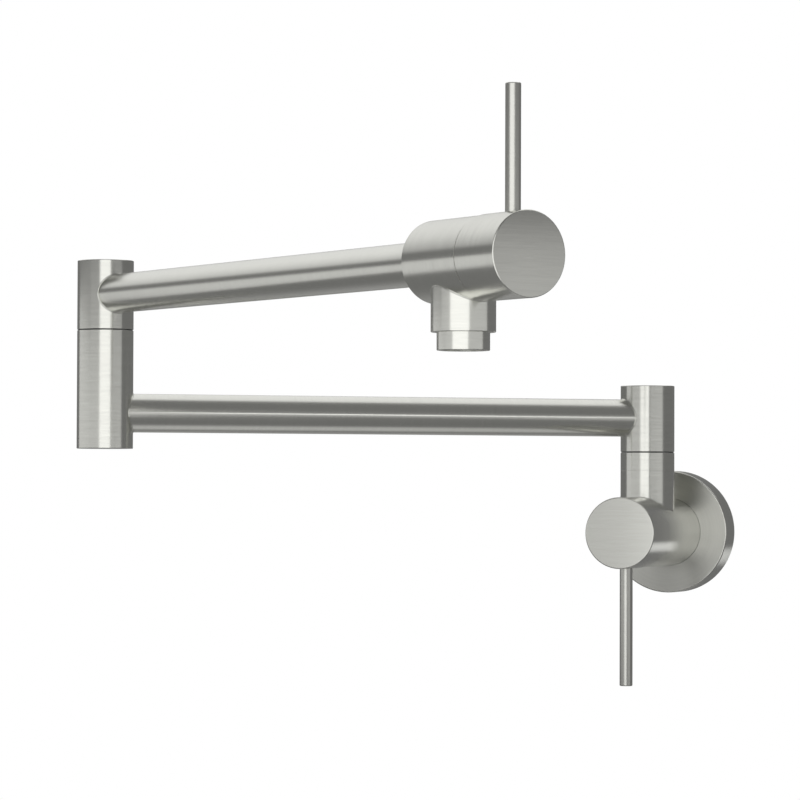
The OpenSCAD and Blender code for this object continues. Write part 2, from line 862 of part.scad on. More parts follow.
// Spout valve: the barrel with the outlet's neck under it
module spout_body() {
    color("silver")
    difference() {
        union() {
            at_spout_seam()
                rod(barrel_r, spout_back_s, -knob_gap / 2, knob_bevel / 2, 0);
            at_outlet()
                rod(outlet_r, aerator_h, aerator_h + outlet_drop, column_bevel / 2, 0);
        }
        at_spout_seam() {
            cartridge_chamber();
            hole(tube_r + seat_gap, spout_back_s - cut, spout_back_s + tube_socket);
            hole(feed_d / 2, spout_back_s, -cartridge_depth);
        }
        at_outlet() {
            hole(port_d / 2, aerator_h, aerator_h + outlet_drop);
            hole(outlet_thread_r, aerator_h - cut, aerator_h + outlet_thread_len);
        }
    }
}

// Rubber washer above the aerator
module aerator_washer() {
    color("black")
    at_outlet()
        ring(aerator_thread_r, port_d / 2, aerator_len, aerator_len + aerator_washer_t);
}

// Perforated disc that limits the flow
module flow_regulator() {
    color("steelblue")
    at_outlet()
        difference() {
            rod(insert_r, insert_top, aerator_len);
            for (a = [0 : 60 : 300])
                rotate([0, 0, a])
                    translate([insert_r / 2, 0, 0])
                        hole(cell_w / 2, insert_top - cut, aerator_len + cut);
        }
}

// Plastic insert with a honeycomb at its mouth
module aerator_insert() {
    step_y = cell_pitch * sin(60);
    color("whitesmoke")
    at_outlet()
        difference() {
            rod(insert_r, aerator_lip_h, insert_top);
            hole(insert_r - insert_wall, aerator_lip_h + cell_h, insert_top + cut);
            for (row = [-cell_rings : cell_rings])
                for (i = [-cell_rings : cell_rings])
                    if (abs(row + i) <= cell_rings)
                        translate([(i + row / 2) * cell_pitch, row * step_y, 0])
                            rotate([0, 0, 30])
                                translate([0, 0, aerator_lip_h - cut])
                                    cylinder(d = cell_w / cos(30), h = cell_h + 2 * cut, $fn = 6);
        }
}

// Aerator housing with a thread, a lip and two spanner flats
module aerator_housing() {
    color("gainsboro")
    at_outlet()
        difference() {
            union() {
                rod(aerator_r, 0, aerator_h, column_bevel / 2, column_bevel / 2);
                rod(aerator_thread_r, 0, aerator_len);
            }
            hole(aerator_bore_r, aerator_lip_h, aerator_len + cut);
            hole(aerator_bore_r - aerator_lip, -cut, aerator_lip_h + cut);
            rotate([0, 0, aerator_turn])
                for (side = [0, 180])
                    rotate([0, 0, side])
                        translate([aerator_r - aerator_flat_t, -aerator_r, -cut])
                            cube([2 * aerator_r, 2 * aerator_r, aerator_flat_h + cut]);
        }
}

mounting_plate();
flange_gasket();
wall_flange();
flange_screw();
inlet_adaptor();
inlet_washer();
valve_body();
at_wall_seam() seat_seal();  // wall_seat_seal
at_wall_seam() fixed_disc();  // wall_fixed_disc
at_wall_seam() cartridge();  // wall_cartridge
at_wall_seam() cartridge_ring();  // wall_cartridge_ring
at_wall_seam() cartridge_nut();  // wall_cartridge_nut
post_collar();
at_wall_swivel() spigot();  // wall_spigot
at_wall_swivel() spigot_rings();  // wall_spigot_rings
at_wall_swivel() swivel_washer();  // wall_swivel_washer
at_wall_swivel() retaining_washer();  // wall_retaining_washer
at_wall_swivel() retaining_screw();  // wall_retaining_screw
at_wall_seam() rotate([0, 0, 180]) knob();  // wall_knob
at_wall_seam() rotate([0, 0, 180]) lever(wall_lever_reach);  // wall_lever
at_wall_seam() rotate([0, 0, 180]) knob_screw();  // wall_knob_screw
at_wall_seam() stem();  // wall_stem
at_wall_seam() stem_ring();  // wall_stem_ring
at_wall_seam() stem_clip();  // wall_stem_clip
at_wall_seam() moving_disc();  // wall_moving_disc
at_wall_swivel() rotate([0, 0, 180 + lower_angle]) sleeve();  // hub_sleeve
at_wall_swivel() sleeve_cap();  // hub_cap
on_lower_arm() arm_tube(tube_seat, lower_len - tube_seat);  // lower_tube
elbow_column();
elbow_foot();
at_elbow(elbow_gap_z) spigot();  // elbow_spigot
at_elbow(elbow_gap_z) spigot_rings();  // elbow_spigot_rings
at_elbow(elbow_gap_z) swivel_washer();  // elbow_swivel_washer
at_elbow(elbow_gap_z) retaining_washer();  // elbow_retaining_washer
at_elbow(elbow_gap_z) retaining_screw();  // elbow_retaining_screw
at_elbow(elbow_gap_z) rotate([0, 0, -upper_angle]) sleeve();  // elbow_sleeve
at_elbow(elbow_gap_z) sleeve_cap();  // elbow_cap
on_upper_arm() arm_tube(tube_seat, spout_back + tube_socket);  // upper_tube
spout_body();
at_spout_seam() seat_seal();  // spout_seat_seal
at_spout_seam() fixed_disc();  // spout_fixed_disc
at_spout_seam() cartridge();  // spout_cartridge
at_spout_seam() cartridge_ring();  // spout_cartridge_ring
at_spout_seam() cartridge_nut();  // spout_cartridge_nut
aerator_washer();
flow_regulator();
aerator_insert();
aerator_housing();
at_spout_seam() knob();  // spout_knob
at_spout_seam() lever(spout_lever_reach);  // spout_lever
at_spout_seam() knob_screw();  // spout_knob_screw
at_spout_seam() stem();  // spout_stem
at_spout_seam() stem_ring();  // spout_stem_ring
at_spout_seam() stem_clip();  // spout_stem_clip
at_spout_seam() moving_disc();  // spout_moving_disc
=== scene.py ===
"""Looks of a wall mounted pot filler, built round its CAD frame.

The script is laid out as an add-on. Run as a script it builds every piece, the materials and the studio.
Every turned piece is made in its own frame, with its axis along z, so one brushed finish fits them all.
"""

import math

import bmesh
import bpy
import numpy as np
from bpy.props import FloatProperty, FloatVectorProperty, IntProperty, PointerProperty
from mathutils import Matrix, Vector


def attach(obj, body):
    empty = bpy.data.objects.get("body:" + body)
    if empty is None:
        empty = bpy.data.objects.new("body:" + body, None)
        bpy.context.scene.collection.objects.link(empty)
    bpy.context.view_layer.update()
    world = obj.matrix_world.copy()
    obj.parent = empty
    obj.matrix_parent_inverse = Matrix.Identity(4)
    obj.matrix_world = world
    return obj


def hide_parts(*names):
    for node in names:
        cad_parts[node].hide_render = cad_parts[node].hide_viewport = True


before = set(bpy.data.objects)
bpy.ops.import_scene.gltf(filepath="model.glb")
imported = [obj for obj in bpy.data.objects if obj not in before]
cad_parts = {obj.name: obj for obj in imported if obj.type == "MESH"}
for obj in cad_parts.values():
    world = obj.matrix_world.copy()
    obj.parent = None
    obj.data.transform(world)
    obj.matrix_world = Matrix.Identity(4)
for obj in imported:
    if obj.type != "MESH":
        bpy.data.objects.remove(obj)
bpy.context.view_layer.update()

bl_info = {
    "name": "Pot Filler Looks",
    "version": (1, 0, 0),
    "blender": (4, 5, 0),
    "location": "3D View > Sidebar > Pot Filler",
    "description": "Builds a brushed pot filler round its CAD frame",
    "category": "Object",
}

MM = 0.001
# Lengths below this one count as nothing
TINY = 1e-6
# Steps round a rounded edge, and steps of a bead along its seam and round its section
EDGE_STEPS = 6
BEAD_STEPS = (96, 10)

# Where the axes of the pieces lie, in millimetres
POST_Y = -54.2
LOWER_Z = 58.6
UPPER_Z = 116.75
ELBOW = (-226.61, -226.21)
ARM_ANGLE = 37.2
OUTLET_S = 319.65
SEAM_Y = -75.0
SPOUT_SEAM_S = 339.5
LEVER_S = 16.6
# From the far end of the lower tube to the axis of the elbow column
TUBE_TO_AXIS = 9.28

# Outer radii of the two barrels, the outlet neck and the aerator, in millimetres
BARREL_R = 17.7
OUTLET_R = 13.65
AERATOR_R = 11.2
# Heights at which the post starts and the outlet neck ends, both inside a barrel
POST_LOW = 11.0
NECK_TOP = UPPER_Z - 11.25

# Inside sizes that follow the CAD model, in millimetres. A socket, chamber or recess is a radius and a depth.
NUT_SOCKET = (13.05, 10.7)
CHAMBER = (10.95, 34.0)
FEED_R = 6.0
SPIGOT_SOCKET = (8.05, 17.4)
SLEEVE_BORE_R = 8.08
CAP_RECESS = (11.2, 4.8)
FOOT_RECESS = (11.05, 2.8)
COLUMN_BORE_R = 6.5
TUBE_WALL = 1.2
TUBE_SOCKET = (9.575, 4.5)
KNOB_HOLLOW = (15.3, 8.2)
STEM_SOCKET = (4.05, 14.25)
OUTLET_SOCKET = (10.25, 9.5)
PORT_R = 4.5
AERATOR_BORE_R = 8.9
AERATOR_LIP = (8.1, 1.2)
# Socket at the wall's end of the valve: its radius, and the distance from the wall at which it ends
REAR_SOCKET = (14.05, 22.0)
# Thickness of the flange's side and of its face, and the room in its bore round the barrel
FLANGE_WALL = (2.2, 1.8)
FLANGE_ROOM = 0.05
# Distance of the aerator's flats from its axis, their height, and their turn in degrees
AERATOR_FLAT = (10.4, 4.5, 2.8)
# Gap between a barrel and its knob, and width and depth of the rebate that draws the seam
SEAM_GAP = 0.2
SEAM_GROOVE = (0.4, 0.9)

# Softboxes, in metres: name, light setting, both ends on the floor plan from left to right, and heights
SOFTBOXES = (
    ("Left_softbox", "left_box", (-0.62, -0.13), (-0.62, -0.74), (-0.08, 0.135)),
    ("Corner_softbox", "corner_box", (-0.62, -0.74), (-0.205, -0.862), (-0.09, 0.15)),
    ("Right_softbox", "right_box", (0.45, -0.92), (0.65, -0.47), (-0.06, 0.17)),
    ("Far_softbox", "right_box", (0.65, -0.47), (0.8, -0.13), (-0.16, 0.17)),
    ("Front_strip", "strip", (-0.205, -0.862), (0.28, -0.72), (-0.25, 0.36)),
)

# Lit parts of the world. Each pair says from where to where the light fades in, on the x, y or z of the ray's
# direction, or on how steeply it falls where the name says DOWN.
SWEEP_Y = (0.02, 0.14)
SWEEP_Z = (0.2, 0.29)
# Where the sweep starts higher up, and by how much
LIFT_X = (-0.4, -0.05)
LIFT_Y = (0.88, 0.93)
LIFT = 0.36
# Where the sweep grows brighter, and its light before that as a share
BRIGHTER_Z = (0.25, 0.6)
SWEEP_SHARE = 0.75
GROUND_Y = (-0.1, 0.06)
GROUND_DOWN = (0.85, 0.93)
# The low sweep has a pair for its start and one for its end on y
LOW_X = (0.05, -0.25)
LOW_Y = (0.4, 0.85)
LOW_Y_END = (0.945, 0.915)
LOW_DOWN = (0.15, 0.3)
# Direction of the small glowing patch, and where it fades in on the cosine to that direction
GLOW_WAY = (0.24, 0.94, -0.243)
GLOW_EDGE = (0.993, 0.9985)

# Camera: place in metres, heading, pitch and roll in degrees, sensor in millimetres, reach in metres
CAMERA_PLACE = (0.52279, -1.82534, 0.01901)
CAMERA_TURN = (20.40, 1.51, -0.20)
SENSOR_WIDTH = 36
CLIP_END = 20

# Finishes of the brushed metal: straight lines, then shares of the set roughness, stretch, contrast, colour,
# pitch and depth. The colour share is painted light and shade: the same metal is made lighter or darker
# per finish, standing in for how light falls on those pieces.
FINISHES = {
    "Satin": (0.0, 1.0, 1.0, 1.0, 1.0, 1.0, 1.0),
    "Satin_barrel": (0.0, 1.2, 1.9, 0.75, 1.01, 1.0, 0.3),
    "Satin_tube": (0.0, 1.2, 0.2, 0.6, 1.0, 1.0, 1.0),
    "Satin_outlet": (0.0, 0.88, 0.1, 0.85, 1.04, 1.0, 1.0),
    "Satin_rod": (0.0, 1.5, 0.2, 0.4, 0.93, 1.0, 1.0),
    "Satin_face": (1.0, 0.7, 0.0, 0.85, 0.87, 0.7, 0.25),
    "Satin_turned": (0.0, 1.45, 2.0, 0.7, 0.78, 1.0, 1.0),
}
# Quarter turn of the stretched reflections, as metal that is brushed round its axis shows them
BRUSH_TURN = 0.25
# Frequency along a straight line as a share of that across it, and how fast a round line changes on its way
LINE_DRAW = 0.008
LINE_DRIFT = 1.4
# Smallest distance from the axis that round lines reckon with, in metres
AXIS_ROOM = 1e-5
# Frequency and strength of the broad lines as shares of the fine ones, and how lines change the gloss
BROAD_LINES = (0.22, 0.3)
LINE_GLOSS = -0.25
# Smudges on brushed metal: scale, and change of the roughness
SMUDGES = (45.0, 0.05)
# Clouds in the grain of inner parts, contrast of that grain, and how it changes the gloss
CLOUD_SCALE = 160.0
GRAIN_CONTRAST = 0.12
GRAIN_GLOSS = 0.5

# Looks of the inner parts: colour setting, metallic, roughness, and the grain's size and depth in millimetres
INNER_LOOKS = {
    "brass": ("brass", 1.0, 0.3, 0.3, 0.004),
    "rubber": ("rubber", 0.0, 0.6, 0.25, 0.01),
    "bearing_plastic": ("bearing", 0.0, 0.45, 0.3, 0.006),
    "insert_plastic": ("plastic", 0.0, 0.4, 0.3, 0.005),
    "ceramic": ("ceramic", 0.0, 0.2, 0.5, 0.002),
    "plate_steel": ("plate", 1.0, 0.38, 0.4, 0.006),
    "screw_steel": ("screws", 1.0, 0.32, 0.2, 0.004),
}
# CAD nodes that take each of those looks. All others are brushed metal.
NODES_OF_LOOK = {
    "brass": ("inlet_adaptor", "wall_cartridge", "wall_cartridge_nut", "spout_cartridge",
              "spout_cartridge_nut", "wall_spigot", "elbow_spigot", "wall_stem", "spout_stem"),
    "rubber": ("flange_gasket", "inlet_washer", "wall_seat_seal", "spout_seat_seal", "aerator_washer",
               "wall_cartridge_ring", "spout_cartridge_ring", "wall_stem_ring", "spout_stem_ring",
               "wall_spigot_rings", "elbow_spigot_rings"),
    "bearing_plastic": ("wall_swivel_washer", "elbow_swivel_washer"),
    "insert_plastic": ("aerator_insert", "flow_regulator"),
    "ceramic": ("wall_fixed_disc", "wall_moving_disc", "spout_fixed_disc", "spout_moving_disc"),
    "plate_steel": ("mounting_plate",),
    "screw_steel": ("flange_screw", "wall_knob_screw", "spout_knob_screw", "wall_retaining_washer",
                    "elbow_retaining_washer", "wall_retaining_screw", "elbow_retaining_screw",
                    "wall_stem_clip", "spout_stem_clip"),
}


class PotFillerSizes(bpy.types.PropertyGroup):
    """Sizes that a user may change without leaving the CAD model."""

    edge_radius: FloatProperty(
        name="Edge radius", description="Rounding of the columns' and sleeves' edges",
        default=0.35 * MM, min=0.05 * MM, max=0.6 * MM, unit="LENGTH", precision=5)
    knob_edge: FloatProperty(
        name="Knob edge", description="Rounding of the knobs' front edges",
        default=0.55 * MM, min=0.1 * MM, max=1 * MM, unit="LENGTH", precision=5)
    flange_edge: FloatProperty(
        name="Flange edge", description="Rounding of the flange's front edge",
        default=0.65 * MM, min=0.1 * MM, max=1.2 * MM, unit="LENGTH", precision=5)
    lever_edge: FloatProperty(
        name="Lever edge", description="Rounding of the lever's tip",
        default=0.5 * MM, min=0.1 * MM, max=1.5 * MM, unit="LENGTH", precision=5)
    seam_edge: FloatProperty(
        name="Seam edge", description="Rounding of the edges at seams and caps",
        default=0.05 * MM, min=0.02 * MM, max=0.4 * MM, unit="LENGTH", precision=5)
    gap_edge: FloatProperty(
        name="Gap edge", description="Rounding of the edges at the swivels' gaps",
        default=0.15 * MM, min=0.02 * MM, max=0.4 * MM, unit="LENGTH", precision=5)
    bead_radius: FloatProperty(
        name="Bead radius", description="Radius of the joint bead where two turned forms meet",
        default=0.4 * MM, min=0.1 * MM, max=1 * MM, unit="LENGTH", precision=5)
    segments: IntProperty(
        name="Segments", description="Segments round every turned piece", default=144, min=24, max=512)


class PotFillerFinish(bpy.types.PropertyGroup):
    """Colours and surface values."""

    metal: FloatVectorProperty(
        name="Metal", description="Colour of the brushed metal", subtype="COLOR", size=3,
        min=0, max=1, default=(0.798, 0.799, 0.75))
    roughness: FloatProperty(
        name="Roughness", description="Roughness of the brushed metal", default=0.21, min=0.02, max=0.8)
    anisotropy: FloatProperty(
        name="Brushing", description="How far the brushing stretches the reflections", default=0.4, min=0,
        max=0.95)
    brush_pitch: FloatProperty(
        name="Brush pitch", description="Distance between brush lines",
        default=0.7 * MM, min=0.05 * MM, max=2 * MM, unit="LENGTH", precision=5)
    brush_contrast: FloatProperty(
        name="Brush contrast", description="How far brush lines change colour and gloss", default=0.17, min=0,
        max=1)
    brush_depth: FloatProperty(
        name="Brush depth", description="Depth of the brush lines",
        default=0.006 * MM, min=0, max=0.05 * MM, unit="LENGTH", precision=6)
    brass: FloatVectorProperty(
        name="Brass", description="Colour of the brass", subtype="COLOR", size=3, min=0, max=1,
        default=(0.78, 0.56, 0.26))
    rubber: FloatVectorProperty(
        name="Rubber", description="Colour of seals and rings", subtype="COLOR", size=3, min=0, max=1,
        default=(0.018, 0.018, 0.019))
    bearing: FloatVectorProperty(
        name="Bearing", description="Colour of the swivels' washers", subtype="COLOR", size=3, min=0, max=1,
        default=(0.03, 0.03, 0.032))
    plastic: FloatVectorProperty(
        name="Plastic", description="Colour of the aerator's insert", subtype="COLOR", size=3, min=0, max=1,
        default=(0.62, 0.63, 0.64))
    ceramic: FloatVectorProperty(
        name="Ceramic", description="Colour of the ceramic discs", subtype="COLOR", size=3, min=0, max=1,
        default=(0.7, 0.69, 0.66))
    plate: FloatVectorProperty(
        name="Plate", description="Colour of the mounting plate", subtype="COLOR", size=3, min=0, max=1,
        default=(0.62, 0.63, 0.64))
    screws: FloatVectorProperty(
        name="Screws", description="Colour of screws and clips", subtype="COLOR", size=3, min=0, max=1,
        default=(0.5, 0.5, 0.5))


class PotFillerStudio(bpy.types.PropertyGroup):
    """Light of the studio and the camera."""

    strip: FloatProperty(
        name="Front strip", description="Light of the tall strip in front", default=1.14, min=0, max=4)
    left_box: FloatProperty(
        name="Left softbox", description="Light of the low softbox on the left", default=0.64, min=0, max=4)
    corner_box: FloatProperty(
        name="Corner softbox", description="Light of the softbox in the left corner", default=0.62, min=0,
        max=4)
    right_box: FloatProperty(
        name="Right softboxes", description="Light of the two softboxes on the right", default=0.56, min=0,
        max=4)
    dark: FloatProperty(
        name="Dark room", description="Light of the room between the softboxes", default=0.17, min=0, max=4)
    behind: FloatProperty(
        name="Behind", description="Light of the sweep above and behind the part", default=0.9, min=0, max=4)
    ground: FloatProperty(
        name="Ground", description="Light of the floor under the part", default=0.5, min=0, max=4)
    low_sweep: FloatProperty(
        name="Low sweep", description="Light added low behind the part", default=0.16, min=0, max=4)
    glow: FloatProperty(
        name="Glow", description="Light of the small patch low behind the part", default=1.05, min=0, max=4)
    lens: FloatProperty(
        name="Lens", description="Focal length in millimetres", default=161.2, min=20, max=400)


def turn_frame(origin, axis, up):
    """Frame with z along the axis, y along up, and its origin given in millimetres."""
    z = Vector(axis).normalized()
    y = Vector(up).normalized()
    x = y.cross(z)
    rotation = Matrix((x, y, z)).transposed().to_4x4()
    return Matrix.Translation(Vector(origin) * MM) @ rotation


def frames():
    """Frames of the turned pieces, z along each axis."""
    angle = math.radians(ARM_ANGLE)
    out = Vector((-math.cos(angle), -math.sin(angle), 0))
    back = Vector((math.cos(angle), -math.sin(angle), 0))
    up = Vector((0, 0, 1))
    elbow = Vector((ELBOW[0], ELBOW[1], 0))
    spout = elbow + Vector((0, 0, UPPER_Z)) + back * SPOUT_SEAM_S
    away = Vector((0, 1, 0))
    return {
        "wall": turn_frame((0, 0, 0), (0, -1, 0), up),
        "wall_seam": turn_frame((0, SEAM_Y, 0), (0, -1, 0), up),
        "post": turn_frame((0, POST_Y, 0), up, away),
        "lower": turn_frame((0, POST_Y, LOWER_Z), out, up),
        "elbow": turn_frame(elbow, up, away),
        "upper": turn_frame(elbow + Vector((0, 0, UPPER_Z)), back, up),
        "spout_seam": turn_frame(spout, back, up),
        "outlet": turn_frame(elbow + back * OUTLET_S, up, away),
        "wall_lever": turn_frame((0, SEAM_Y - LEVER_S, 0), -up, away),
        "spout_lever": turn_frame(spout + back * LEVER_S, up, away),
    }


def span(node, place):
    """Lowest and highest place along the axis and the largest radius of a CAD node, in millimetres."""
    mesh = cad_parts[node].data
    points = np.empty(len(mesh.vertices) * 3)
    mesh.vertices.foreach_get("co", points)
    points = np.c_[points.reshape(-1, 3), np.ones(len(mesh.vertices))]
    local = points @ np.array(place.inverted()).T / MM
    return local[:, 2].min(), local[:, 2].max(), np.hypot(local[:, 0], local[:, 1]).max()


def high_of(node, place):
    """Highest place of a node along the axis of a frame."""
    return span(node, place)[1]


def rounded(corners):
    """Points and outward normals of a profile whose corners are rounded.

    Each corner is a radius, a height and its rounding, all in millimetres.
    """
    count = len(corners)
    places = [Vector((c[0], c[1])) for c in corners]
    points = []
    closed = all(c[0] > 0 for c in corners)
    for i in range(count):
        here = places[i]
        bend = corners[i][2]
        before = (here - places[i - 1]).normalized()
        after = (places[(i + 1) % count] - here).normalized()
        first = Vector((before.y, -before.x))
        last = Vector((after.y, -after.x))
        if not closed and i in (0, count - 1):
            points.append((here, last if i == 0 else first))
            continue
        turn = before.angle(after)
        reach = bend * math.tan(turn / 2)
        side = 1 if before.x * after.y - before.y * after.x > 0 else -1
        centre = here - before * reach - first * bend * side
        for k in range(EDGE_STEPS + 1):
            normal = first.slerp(last, k / EDGE_STEPS).normalized()
            points.append((centre + normal * bend * side, normal))
    return points, closed


def new_object(name, mesh, place, material):
    """Puts a finished mesh in the scene at its frame."""
    piece = bpy.data.objects.new(name, mesh)
    bpy.context.scene.collection.objects.link(piece)
    piece.matrix_world = place
    mesh.materials.append(material)
    return piece


def lathe(name, corners, place, material, face_material=None):
    """Turned piece from a profile round z, with exact normals. Its top face may have its own material."""
    segments = bpy.context.scene.pot_filler_sizes.segments
    points, closed = rounded(corners)
    mesh = bpy.data.meshes.new(name)
    bm = bmesh.new()
    rings = []
    normals = []
    for point, normal in points:
        if point.x < TINY:
            rings.append([bm.verts.new((0, 0, point.y * MM))])
            normals.append(Vector((0, 0, normal.y)))
            continue
        ring = []
        for k in range(segments):
            angle = 2 * math.pi * k / segments
            c, s = math.cos(angle), math.sin(angle)
            ring.append(bm.verts.new((point.x * MM * c, point.x * MM * s, point.y * MM)))
            normals.append(Vector((normal.x * c, normal.x * s, normal.y)))
        rings.append(ring)
    pairs = list(zip(rings, rings[1:]))
    if closed:
        pairs.append((rings[-1], rings[0]))
    for low, high in pairs:
        for k in range(segments):
            n = (k + 1) % segments
            if len(low) == 1:
                bm.faces.new((low[0], high[n], high[k]))
            elif len(high) == 1:
                bm.faces.new((low[k], low[n], high[0]))
            else:
                bm.faces.new((low[k], low[n], high[n], high[k]))
    for face in bm.faces:
        face.smooth = True
    bm.normal_update()
    bm.to_mesh(mesh)
    bm.free()
    mesh.normals_split_custom_set_from_vertices(normals)
    piece = new_object(name, mesh, place, material)
    if face_material:
        mesh.materials.append(face_material)
        top = max(c[1] for c in corners) * MM
        for face in mesh.polygons:
            if face.center.z > top - TINY:
                face.material_index = 1
    return piece


def seam_bead(name, small_r, big_r, place, side, material):
    """Bead along the seam where a turned form of the small radius, round z, enters a larger one.

    The larger form's axis lies along y of the frame. The bead is on its upper side on z where side is 1,
    and on its lower side where it is -1.
    """
    radius = bpy.context.scene.pot_filler_sizes.bead_radius
    around, steps = BEAD_STEPS
    mesh = bpy.data.meshes.new(name)
    bm = bmesh.new()
    rings = []
    for k in range(around):
        angle = 2 * math.pi * k / around
        x = small_r * math.cos(angle)
        y = small_r * math.sin(angle)
        z = side * math.sqrt(big_r ** 2 - x ** 2)
        centre = Vector((x, y, z)) * MM
        slope = -side * x / math.sqrt(big_r ** 2 - x ** 2)
        along = Vector((-math.sin(angle), math.cos(angle), -slope * math.sin(angle))).normalized()
        outward = Vector((math.cos(angle), math.sin(angle), 0))
        outward = (outward - along * outward.dot(along)).normalized()
        third = along.cross(outward)
        ring = []
        for j in range(steps):
            turn = 2 * math.pi * j / steps
            ring.append(bm.verts.new(centre + (outward * math.cos(turn) + third * math.sin(turn)) * radius))
        rings.append(ring)
    for k in range(around):
        low_ring = rings[k]
        high_ring = rings[(k + 1) % around]
        for j in range(steps):
            n = (j + 1) % steps
            bm.faces.new((low_ring[j], low_ring[n], high_ring[n], high_ring[j])).smooth = True
    bmesh.ops.recalc_face_normals(bm, faces=bm.faces)
    bm.to_mesh(mesh)
    bm.free()
    return new_object(name, mesh, place, material)


def seam_groove(high, bend):
    """Corners of the narrow rebate at the knob's end of a barrel, which draws the dark line of the seam."""
    width, depth = SEAM_GROOVE
    inner = BARREL_R - depth
    return (BARREL_R, high - width, bend), (inner, high - width, 0), (inner, high, 0)


def barrel_corners(rear_r, low, shoulder, seam_at, rear_bend, seam_bend):
    """Profile of a valve barrel, with its rear socket, nut socket, chamber and feed hole.

    The rear socket runs from low up to the shoulder, and seam_at is the height of the knob's rear face.
    """
    front = seam_at - SEAM_GAP
    nut = seam_at - NUT_SOCKET[1]
    floor = seam_at - CHAMBER[1]
    return [(rear_r, low, 0), (BARREL_R, low, rear_bend), *seam_groove(front, seam_bend),
            (NUT_SOCKET[0], front, 0), (NUT_SOCKET[0], nut, 0), (CHAMBER[0], nut, 0), (CHAMBER[0], floor, 0),
            (FEED_R, floor, 0), (FEED_R, shoulder, 0), (rear_r, shoulder, 0)]


def cut_flats(piece, low):
    """Presses two spanner flats into the lower part of the aerator."""
    reach, height, turn = AERATOR_FLAT
    way = Vector((math.cos(math.radians(turn)), math.sin(math.radians(turn)), 0))
    mesh = piece.data
    for vertex in mesh.vertices:
        along = vertex.co.dot(way)
        if vertex.co.z < (low + height) * MM and abs(along) > reach * MM:
            vertex.co -= way * (along - math.copysign(reach * MM, along))
    mesh.update()


def settle(piece, body, slot, *nodes):
    """Lets a piece ride its body and stand for its CAD nodes, which it hides. The slot is not used."""
    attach(piece, body)
    if nodes:
        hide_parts(*nodes)


def new_group(name, inputs, outputs):
    """Empty shader node group with its sockets and its input and output nodes."""
    tree = bpy.data.node_groups.new(name, "ShaderNodeTree")
    for label, kind, value in inputs:
        socket = tree.interface.new_socket(label, in_out="INPUT", socket_type=kind)
        socket.default_value = value
    for label, kind in outputs:
        tree.interface.new_socket(label, in_out="OUTPUT", socket_type=kind)
    return tree, tree.nodes.new("NodeGroupInput"), tree.nodes.new("NodeGroupOutput")


def math_node(tree, operation, first, second=None):
    """Math node whose inputs are sockets or plain numbers."""
    node = tree.nodes.new("ShaderNodeMath")
    node.operation = operation
    for i, value in enumerate((first, second)):
        if value is None:
            continue
        if isinstance(value, (int, float)):
            node.inputs[i].default_value = value
        else:
            tree.links.new(value, node.inputs[i])
    return node.outputs[0]


def noise(tree, vector, scale, detail, w=None):
    """Noise texture from a vector, in four dimensions when w is given."""
    node = tree.nodes.new("ShaderNodeTexNoise")
    node.inputs["Scale"].default_value = scale
    node.inputs["Detail"].default_value = detail
    if w is not None:
        node.noise_dimensions = "4D"
        tree.links.new(w, node.inputs["W"])
    tree.links.new(vector, node.inputs["Vector"])
    return node.outputs[0]


def centred(tree, value):
    """Noise that runs from 0 to 1, moved to lie round zero."""
    return math_node(tree, "SUBTRACT", value, 0.5)


def combine(tree, x, y, z):
    """Vector from three sockets."""
    node = tree.nodes.new("ShaderNodeCombineXYZ")
    for i, value in enumerate((x, y, z)):
        tree.links.new(value, node.inputs[i])
    return node.outputs[0]


def scaled(tree, vector, factor):
    """Vector or colour multiplied by a factor."""
    node = tree.nodes.new("ShaderNodeVectorMath")
    node.operation = "SCALE"
    tree.links.new(vector, node.inputs[0])
    tree.links.new(factor, node.inputs["Scale"])
    return node.outputs[0]


def rise(tree, value, start, end):
    """Soft step from zero at start to one at end."""
    node = tree.nodes.new("ShaderNodeMapRange")
    node.interpolation_type = "SMOOTHSTEP"
    node.inputs["From Min"].default_value = start
    node.inputs["From Max"].default_value = end
    tree.links.new(value, node.inputs["Value"])
    return node.outputs[0]


def product(tree, *values):
    """Product of several sockets or numbers."""
    result = values[0]
    for value in values[1:]:
        result = math_node(tree, "MULTIPLY", result, value)
    return result


